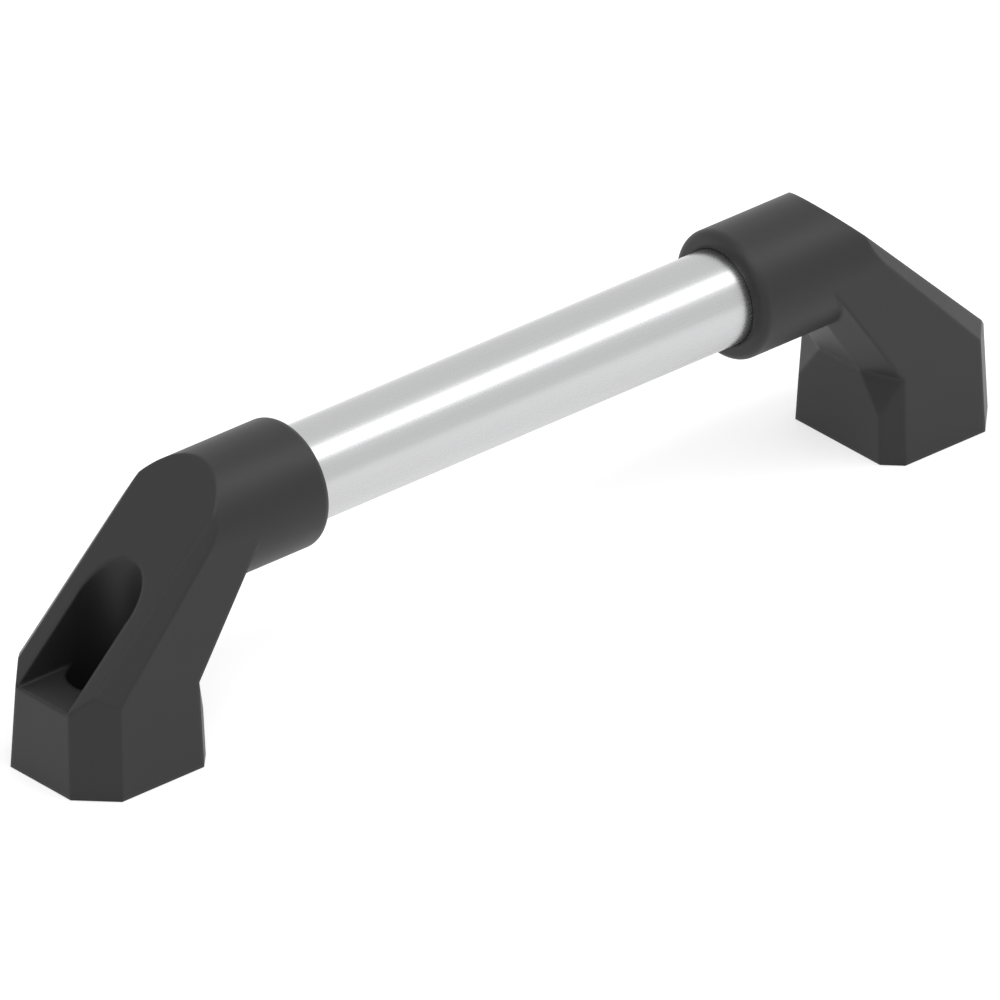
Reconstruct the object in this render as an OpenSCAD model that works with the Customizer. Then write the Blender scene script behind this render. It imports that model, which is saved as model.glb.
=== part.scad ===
// Tubular pull handle: a round aluminium tube held in two mirrored moulded legs.
// Lengths are millimetres, angles are degrees. The tube lies along X, and Z is up.
// The origin is on the mounting face, midway between the two legs.

/* [Handle] */
// Distance between the axes of the two mounting screws
hole_pitch = 292; // [220:1:500]
// Height of the tube's axis above the mounting face
axis_h = 62; // [58:1:80]

/* [Grip tube] */
// Outside diameter of the tube
tube_d = 28; // [24:1:30]
// Wall thickness of the tube
tube_wall = 2; // [1.5:0.5:4]
// Bevel on the outer edge of the tube's ends
tube_bevel = 0.5; // [0.2:0.1:1]

/* [Socket] */
// Outside diameter of the round socket
socket_d = 38; // [36:0.5:42]
// Distance from the screw's axis to the open end of the socket
socket_reach = 66.5; // [62:0.5:80]
// How deep the tube goes into the socket
socket_depth = 31.5; // [20:0.5:34]
// Gap around the tube in the socket
fit_gap = 0.1; // [0.05:0.05:0.3]
// Radius of the round on the rim of the open end
rim_round = 2.5; // [0.5:0.1:3.6]

/* [Foot] */
// Distance from the screw's axis to the foot's outer face
foot_out = 23; // [20:0.1:30]
// Distance from the screw's axis to the foot's inner face
foot_in = 21.8; // [20:0.1:30]
// Width of the foot across the handle
foot_w = 45; // [42:1:56]
// Height at which the outer face turns into the slope
foot_h = 26; // [20:0.5:32]
// Leg of the bevel on the two outer corners
outer_corner = 10; // [4:0.5:12]
// Leg of the bevel on the two inner corners
inner_corner = 5; // [2:0.5:8]
// Draft of the foot's outer and inner faces
face_draft = 1.2; // [0.5:0.1:3]

/* [Arm] */
// Steepness of the outer slope
slope_angle = 44; // [40:0.5:50]
// Width of the outer slope between its beveled edges
slope_w = 31; // [26:0.5:35]
// Height at which the inner face turns into the lean of the arm
knee_h = 26; // [20:0.5:32]
// Steepness of the arm's inner face
lean_angle = 56.5; // [50:0.5:64]
// Width of the arm's inner face between its beveled edges
lean_w = 16.5; // [10:0.5:24]
// How far those bevels reach back along the arm's sides
lean_corner = 5; // [4:0.5:9]
// Height over which those bevels run out on the foot
runout_h = 10; // [4:0.5:18]

/* [Screw pocket] */
// Diameter of the pocket's deep round part
pocket_d = 21; // [18:0.5:24]
// How much narrower the slot is that opens the pocket towards the slope
slot_step = 0.2; // [0.1:0.1:1]
// Height of the slot's floor
slot_floor = 25.5; // [20:0.5:30]
// How much deeper the round part goes, for the screw's head
head_depth = 10; // [4:0.5:14]
// Diameter of the through hole
hole_d = 8.5; // [6.4:0.1:10.5]

/* [Set screw] */
// Diameter of the set screw
set_d = 6; // [5:1:8]
// Length of the set screw
set_len = 5; // [4:0.5:8]
// Distance from the socket's open end to the set screw's axis
set_inset = 12; // [8:1:20]
// Width across the flats of the set screw's hexagon socket
set_hex = 3; // [2:0.5:4]
// Depth of the set screw's hexagon socket
set_hex_depth = 2.5; // [1.5:0.5:3.5]

/* [Hidden] */

round_faces = 96;
rim_faces = 32;
leg_color = "#3d3d3f";
tube_color = "#c9cacc";
screw_color = "#8e8e90";

tube_r = tube_d / 2;
socket_r = socket_d / 2;
bore_r = tube_r + fit_gap;
leg_x = hole_pitch / 2;

slot_w = pocket_d - slot_step;

// The tube ends at the floors of the two sockets
tube_len = hole_pitch - 2 * (socket_reach - socket_depth);

// The sides lean in and run into the round socket without a step, a hair inside its surface
side_sink = 0.02;
half_w = foot_w / 2;
side_reach = socket_r - side_sink;
side_lean = atan(half_w / axis_h) - asin(side_reach / norm([half_w, axis_h]));
side_top = axis_h + side_reach * sin(side_lean);
side_n = [0, cos(side_lean), sin(side_lean)];
outer_n = [cos(face_draft), 0, sin(face_draft)];
inner_n = [-cos(face_draft), 0, sin(face_draft)];

// Places on the side view, outboard is +X and the screw's axis is at X = 0
outer_x = foot_out - foot_h * tan(face_draft);
knee_x = -foot_in + knee_h * tan(face_draft);
lean_top_x = knee_x - (side_top - knee_h) / tan(lean_angle);

slope_n = [sin(slope_angle), 0, cos(slope_angle)];
lean_up = [-cos(lean_angle), 0, sin(lean_angle)];

// Corner points of the inner bevel on the +Y side of the knee
knee_w = half_w - knee_h * tan(side_lean);
knee_in = [knee_x, lean_w / 2, knee_h];
knee_out = [knee_x + lean_corner, knee_w, knee_h];
runout_low = [knee_x, knee_w - inner_corner, knee_h - runout_h];

// A block that is larger than the whole leg, and a hair past a face for clean cuts
big = 4 * (foot_out + foot_in + axis_h);
past = 1;

// Everything on the far side of the plane through a point with an outward normal
module beyond(point, normal) {
    translate(point)
        rotate([0, acos(normal[2] / norm(normal)), atan2(normal[1], normal[0])])
            translate([-big / 2, -big / 2, 0])
                cube(big);
}

// The same shape on both sides of the handle's middle plane
module both_sides() {
    children();
    mirror([0, 1, 0]) children();
}

// Foot and arm: the side view extruded, with leaning sides and beveled corners
module foot_and_arm() {
    difference() {
        rotate([90, 0, 0])
            linear_extrude(foot_w, center = true)
                polygon([
                    [foot_out, 0],
                    [foot_out - side_top * tan(face_draft), side_top],
                    [lean_top_x, side_top],
                    [knee_x, knee_h],
                    [-foot_in, 0],
                ]);
        both_sides() {
            beyond([0, half_w, 0], side_n);
            beyond([foot_out, half_w - outer_corner, 0], outer_n + side_n);
            inner_corner_cut();
        }
    }
}

// The inner corner on one side: a bevel up the foot and a wider one along the arm's inner face,
// which runs out on the foot just below the knee
module inner_corner_cut() {
    intersection() {
        beyond(knee_in, cross(lean_up, knee_out - knee_in));
        translate([-big / 2, -big / 2, knee_h]) cube(big);
    }
    intersection() {
        union() {
            beyond([-foot_in, half_w - inner_corner, 0], inner_n + side_n);
            beyond(knee_in, cross(knee_out - knee_in, runout_low - knee_in));
        }
        translate([-big / 2, -big / 2, knee_h - big]) cube(big);
    }
}

// Round socket, whose outboard end is cut off by the slope later
module socket() {
    translate([-socket_reach, 0, axis_h])
        rotate([0, 90, 0]) {
            translate([0, 0, rim_round])
                cylinder(h = socket_reach + foot_out, r = socket_r, $fn = round_faces);
            cylinder(h = socket_reach, r = socket_r - rim_round, $fn = round_faces);
            translate([0, 0, rim_round])
                rotate_extrude($fn = round_faces)
                    translate([socket_r - rim_round, 0])
                        circle(r = rim_round, $fn = rim_faces);
        }
}

// Slope with its two beveled edges
module slope_cut() {
    beyond([outer_x, 0, foot_h], slope_n);
    both_sides()
        beyond([outer_x, slope_w / 2, foot_h], slope_n + [0, 1, 0]);
}

// Pocket for the screw: deep and round behind, and open towards the slope
module screw_pocket() {
    translate([0, 0, slot_floor - head_depth])
        cylinder(h = big, d = pocket_d, $fn = round_faces);
    translate([0, -slot_w / 2, slot_floor])
        cube([foot_out + past, slot_w, big]);
    translate([0, 0, -past])
        cylinder(h = slot_floor, d = hole_d, $fn = round_faces);
}

// Blind bore for the tube, and the set screw's hole below it
module tube_seat() {
    translate([-socket_reach - past, 0, axis_h])
        rotate([0, 90, 0])
            cylinder(h = socket_depth + past, r = bore_r, $fn = round_faces);
    translate([set_inset - socket_reach, 0, axis_h - socket_r - past])
        cylinder(h = socket_r, d = set_d, $fn = round_faces);
}

// One leg, with the screw's axis at the origin and its socket towards -X
module leg() {
    color(leg_color)
        difference() {
            union() {
                foot_and_arm();
                socket();
            }
            slope_cut();
            screw_pocket();
            tube_seat();
        }
}

// Set screw that presses on the tube from below, with a hexagon socket
module set_screw() {
    color(screw_color)
        translate([set_inset - socket_reach, 0, axis_h - tube_r - set_len])
            difference() {
                cylinder(h = set_len, d = set_d, $fn = round_faces);
                translate([0, 0, -past])
                    cylinder(h = set_hex_depth + past, d = set_hex / cos(30), $fn = 6);
            }
}

// A thing made for the right leg, set at its place
module at_right() {
    translate([leg_x, 0, 0]) children();
}

// The same thing mirrored to the left leg
module at_left() {
    mirror([1, 0, 0]) at_right() children();
}

module grip_tube() {
    color(tube_color)
        translate([-tube_len / 2, 0, axis_h])
            rotate([0, 90, 0])
                rotate_extrude($fn = round_faces)
                    polygon([
                        [tube_r - tube_wall, 0],
                        [tube_r - tube_bevel, 0],
                        [tube_r, tube_bevel],
                        [tube_r, tube_len - tube_bevel],
                        [tube_r - tube_bevel, tube_len],
                        [tube_r - tube_wall, tube_len],
                    ]);
}

module left_leg() {
    at_left() leg();
}

module right_leg() {
    at_right() leg();
}

module left_set_screw() {
    at_left() set_screw();
}

module right_set_screw() {
    at_right() set_screw();
}

grip_tube();
left_leg();
right_leg();
left_set_screw();
right_set_screw();
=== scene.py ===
import math

import bpy
from mathutils import Matrix, Vector

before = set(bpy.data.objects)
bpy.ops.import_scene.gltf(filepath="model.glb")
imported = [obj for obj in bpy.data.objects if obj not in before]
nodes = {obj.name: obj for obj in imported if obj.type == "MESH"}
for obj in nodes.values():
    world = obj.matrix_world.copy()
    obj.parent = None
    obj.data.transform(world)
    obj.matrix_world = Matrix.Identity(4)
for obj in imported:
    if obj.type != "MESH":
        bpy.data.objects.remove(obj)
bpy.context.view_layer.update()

scene = bpy.context.scene

# Lengths in metres: how far a leg's edges look rounded, and the table's half width and its place
EDGE_SOFTNESS = 0.0018
TABLE_HALF = 20.0
TABLE_DROP = 0.0002

# The darker and the paler end of each finish
LEG_DARK = (0.0160, 0.0160, 0.0164, 1.0)
LEG_PALE = (0.0206, 0.0206, 0.0210, 1.0)
TUBE_DARK = (0.505, 0.507, 0.512, 1.0)
TUBE_PALE = (0.555, 0.557, 0.562, 1.0)
STEEL_DARK = (0.36, 0.36, 0.37, 1.0)
STEEL_PALE = (0.48, 0.48, 0.49, 1.0)

# The table's own colour, and what it adds so that it shows white outside the handle's shadow
TABLE_COLOUR = (0.62, 0.62, 0.62, 1.0)
TABLE_LIFT = 0.58
WHITE = (1.0, 1.0, 1.0, 1.0)


# Shader maths: a socket that can be added, multiplied and so on in plain expressions

class Signal:
    """One output socket of a material. Arithmetic on it adds Math nodes."""

    def __init__(self, tree, socket):
        self.tree = tree
        self.socket = socket

    def maths(self, operation, one, other):
        return Sheet(self.tree).node("ShaderNodeMath", {"operation": operation}, _0=one, _1=other)

    def __add__(self, other):
        return self.maths("ADD", self, other)

    def __sub__(self, other):
        return self.maths("SUBTRACT", self, other)

    def __rsub__(self, other):
        return self.maths("SUBTRACT", other, self)

    def __mul__(self, other):
        return self.maths("MULTIPLY", self, other)

    __radd__ = __add__
    __rmul__ = __mul__

    def swing(self, amount):
        """How far a noise is from its middle, times the amount."""
        return (self - 0.5) * amount

    def clamped(self):
        return Sheet(self.tree).node("ShaderNodeClamp", {}, Value=self, Min=0.0, Max=1.0)

    def between(self, low, high):
        """0 up to low, 1 from high on, and smooth in between."""
        return Sheet(self.tree).node("ShaderNodeMapRange", {"interpolation_type": "SMOOTHSTEP"},
                                     Value=self, **{"From Min": low, "From Max": high})

    def from_output(self, which):
        """Another output of the same node, by its name or its place."""
        return Signal(self.tree, self.socket.node.outputs[which])


class Sheet:
    """A node tree that nodes are added to by one method."""

    def __init__(self, tree):
        self.tree = tree

    def node(self, kind, settings, **inputs):
        """Adds a node: its settings first, then its sockets' values or links. _0 is a socket's place."""
        made = self.tree.nodes.new(kind)
        for name, value in settings.items():
            setattr(made, name, value)
        for name, value in inputs.items():
            socket = made.inputs[int(name[1:])] if name[0] == "_" else made.inputs[name]
            if isinstance(value, Signal):
                self.tree.links.new(value.socket, socket)
            else:
                socket.default_value = value
        shown = [socket for socket in made.outputs if socket.enabled]
        return Signal(self.tree, shown[0]) if shown else None

    def place(self):
        """The point in the handle's own frame, in metres."""
        return self.node("ShaderNodeTexCoord", {}).from_output("Object")

    def noise(self, at, scale, detail, roughness):
        return self.node("ShaderNodeTexNoise", {},
                         Vector=at, Scale=scale, Detail=detail, Roughness=roughness)

    def mix(self, amount, one, other):
        """A colour between one and the other."""
        mixed = self.node("ShaderNodeMix", {"data_type": "RGBA"}, _0=amount, _6=one, _7=other)
        return mixed.from_output(2)

    def background_mask(self):
        """1 for what the camera, gloss and glass see, and 0 for the light that falls on the handle."""
        path = self.node("ShaderNodeLightPath", {}).from_output
        return (path("Is Camera Ray") + path("Is Glossy Ray") + path("Is Transmission Ray")).clamped()


def new_material(name):
    made = bpy.data.materials.new(name)
    made.use_nodes = True
    made.node_tree.nodes.clear()
    return made, Sheet(made.node_tree)


def close(sheet, shader):
    sheet.node("ShaderNodeOutputMaterial", {}, Surface=shader)


# Materials

def matt_moulding():
    """Dark grey moulded leg: a fine matt skin, a slightly uneven sheen and edges that look rounded."""
    made, s = new_material("matt_moulding")
    at = s.place()
    fine = s.noise(at, 5200.0, 2.0, 0.6)
    broad = s.noise(at, 45.0, 3.0, 0.55)
    tone = broad.swing(0.35) + fine.swing(0.18) + 0.5
    soft_edge = s.node("ShaderNodeBevel", {"samples": 8}, Radius=EDGE_SOFTNESS)
    skin = s.node("ShaderNodeBump", {}, Height=fine, Strength=0.2, Distance=0.00005, Normal=soft_edge)
    close(s, s.node("ShaderNodeBsdfPrincipled", {}, **{
        "Base Color": s.mix(tone.clamped(), LEG_DARK, LEG_PALE),
        "Roughness": 0.47 + broad.swing(0.12) + fine.swing(0.08),
        "Normal": skin,
        "Specular IOR Level": 0.37}))
    return made


def satin_tube():
    """Satin anodised aluminium with fine lines along the tube from drawing and brushing."""
    made, s = new_material("satin_tube")
    along = s.node("ShaderNodeMapping", {}, Vector=s.place(), Scale=(0.012, 1.0, 1.0))
    lines = s.noise(along, 3400.0, 2.0, 0.5)
    broad = s.noise(along, 240.0, 2.0, 0.5)
    tone = lines.swing(0.5) + 0.5
    close(s, s.node("ShaderNodeBsdfPrincipled", {}, **{
        "Base Color": s.mix(tone.clamped(), TUBE_DARK, TUBE_PALE),
        "Metallic": 1.0,
        "Roughness": 0.27 + lines.swing(0.1) + broad.swing(0.06),
        "Normal": s.node("ShaderNodeBump", {}, Height=lines, Strength=0.03, Distance=0.000003)}))
    return made


def plain_steel():
    """Zinc-plated steel of the set screws."""
    made, s = new_material("plain_steel")
    fine = s.noise(s.place(), 1800.0, 2.0, 0.6)
    close(s, s.node("ShaderNodeBsdfPrincipled", {}, **{
        "Base Color": s.mix(fine, STEEL_DARK, STEEL_PALE),
        "Metallic": 1.0,
        "Roughness": 0.32 + fine.swing(0.15)}))
    return made


def pale_floor():
    """A white table with the handle's soft shadow, the same for the camera, gloss and glass."""
    made, s = new_material("pale_floor")
    matt = s.node("ShaderNodeBsdfDiffuse", {}, Color=TABLE_COLOUR)
    lift = s.node("ShaderNodeEmission", {}, Color=s.background_mask() * TABLE_LIFT, Strength=1.0)
    close(s, s.node("ShaderNodeAddShader", {}, _0=matt, _1=lift))
    return made


def paint(names, material):
    for name in names:
        nodes[name].data.materials.clear()
        nodes[name].data.materials.append(material)


# The handle's pieces

paint(("left_leg", "right_leg"), matt_moulding())
paint(("grip_tube",), satin_tube())
paint(("left_set_screw", "right_set_screw"), plain_steel())


# Table, light and camera

def studio_floor():
    mesh = bpy.data.meshes.new("studio_floor")
    side = (-TABLE_HALF, TABLE_HALF)
    corners = [(x, y, 0.0) for x in side for y in side]
    mesh.from_pydata(corners, [], [(0, 2, 3, 1)])
    mesh.materials.append(pale_floor())
    floor = bpy.data.objects.new("studio_floor", mesh)
    scene.collection.objects.link(floor)
    floor.location.z = -TABLE_DROP


def studio_sky():
    """White for the camera, gloss and glass. The light on the handle comes from a pale grey dome."""
    world = bpy.data.worlds.new("studio_sky")
    scene.world = world
    world.use_nodes = True
    world.node_tree.nodes.clear()
    s = Sheet(world.node_tree)
    towards = s.node("ShaderNodeTexCoord", {}).from_output("Generated")
    # The dome is darker straight in front of the handle, and round the side that the camera stands on
    front = s.node("ShaderNodeSeparateXYZ", {}, Vector=towards).from_output("Y").between(-0.84, -0.58)
    camera_side = (-0.42, -0.74, 0.53)
    facing = s.node("ShaderNodeVectorMath", {"operation": "DOT_PRODUCT"}, _0=towards, _1=camera_side)
    near = facing.from_output("Value").between(0.7, 0.97)
    dome = (0.6 + front * 0.23) * (1.0 - near * 0.45)
    colour = s.mix(s.background_mask(), dome, WHITE)
    sky = s.node("ShaderNodeBackground", {}, Color=colour, Strength=1.0)
    s.node("ShaderNodeOutputWorld", {}, Surface=sky)


def strip_lamp():
    """A long soft strip high up in front of the handle, which draws the tube's bright line."""
    place = Vector((0.6, -0.52, 1.3))
    aim = Vector((0.6, 0.0, 0.06))
    lamp = bpy.data.lights.new("strip_over", "AREA")
    lamp.shape = "RECTANGLE"
    lamp.size = 3.2
    lamp.size_y = 0.7
    lamp.energy = 13.2
    made = bpy.data.objects.new("strip_over", lamp)
    scene.collection.objects.link(made)
    made.location = place
    made.rotation_mode = "QUATERNION"
    made.rotation_quaternion = (aim - place).to_track_quat("-Z", "Y")


def photo_camera():
    """A long lens far away, at the photograph's angle: the picture's middle looks at the aim point."""
    turn, height, roll = (math.radians(angle) for angle in (41.8113, 28.9914, 0.3121))
    pixels_per_mm = 3.6339
    aim = Vector((0.0015748, 0.0029769, 0.025105))
    lens = 1700.0
    sensor = 36.0
    back = Vector((-math.sin(turn) * math.cos(height), -math.cos(turn) * math.cos(height), math.sin(height)))
    right = Vector((math.cos(turn), -math.sin(turn), 0.0))
    up = back.cross(right)
    across = math.cos(roll) * right + math.sin(roll) * up
    upward = -math.sin(roll) * right + math.cos(roll) * up
    # A picture of 1000 pixels spans 1 / pixels_per_mm metres at the aim point
    stand = aim + 1.0 / pixels_per_mm * lens / sensor * back
    camera = bpy.data.cameras.new("camera")
    camera.lens = lens
    camera.sensor_width = sensor
    camera.clip_start = 1.0
    camera.clip_end = 60.0
    made = bpy.data.objects.new("camera", camera)
    scene.collection.objects.link(made)
    made.matrix_world = Matrix.Translation(stand) @ Matrix((across, upward, back)).transposed().to_4x4()
    scene.camera = made


studio_floor()
studio_sky()
strip_lamp()
photo_camera()

scene.view_settings.view_transform = "Standard"
